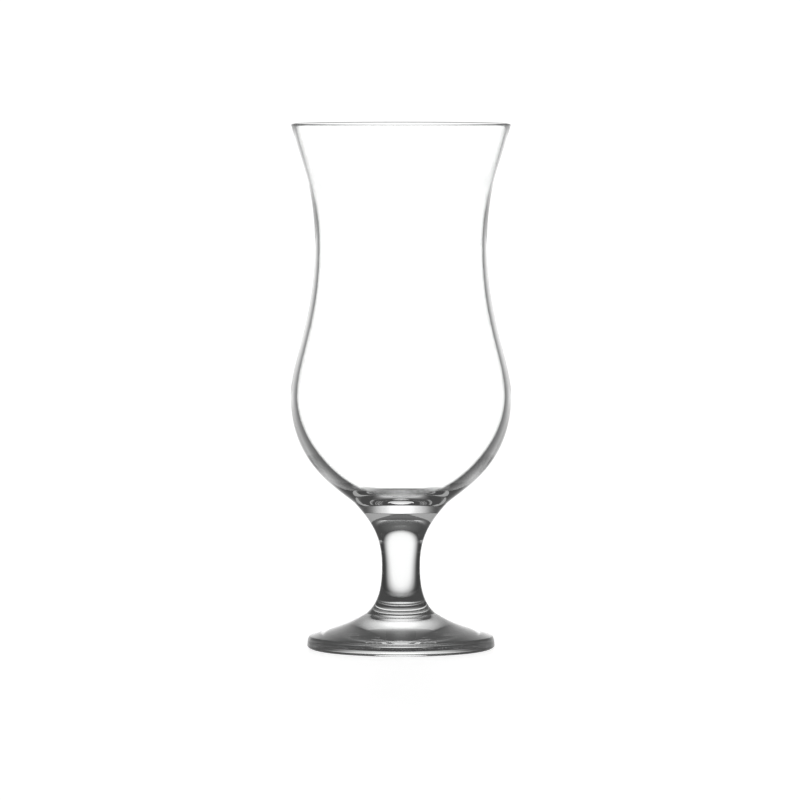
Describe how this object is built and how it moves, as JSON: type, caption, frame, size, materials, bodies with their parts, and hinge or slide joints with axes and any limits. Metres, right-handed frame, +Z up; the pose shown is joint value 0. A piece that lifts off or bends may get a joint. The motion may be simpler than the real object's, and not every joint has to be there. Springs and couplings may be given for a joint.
{
  "type": "stemmed cocktail glass",
  "caption": "Clear stemmed cocktail glass with a flared rim, a waisted tulip bowl, a short drawn-in stem and a round flared foot, for long mixed drinks.",
  "frame": {"origin": "on the table under the middle of the foot, on the glass's axis", "axes": "+Z up along the axis of the glass, from the foot to the rim; +X and +Y are level, and the glass is the same all round"},
  "size_m": [0.081, 0.081, 0.193],
  "materials": {
    "bowl_glass": "clear blown soda-lime glass, fire-polished",
    "stem_glass": "clear pressed soda-lime glass, fire-polished",
    "foot_glass": "clear pressed soda-lime glass, fire-polished"
  },
  "bodies": {
    "root": {"foot": "foot_glass", "stem": "stem_glass", "bowl": "bowl_glass"}
  },
  "joints": []
}
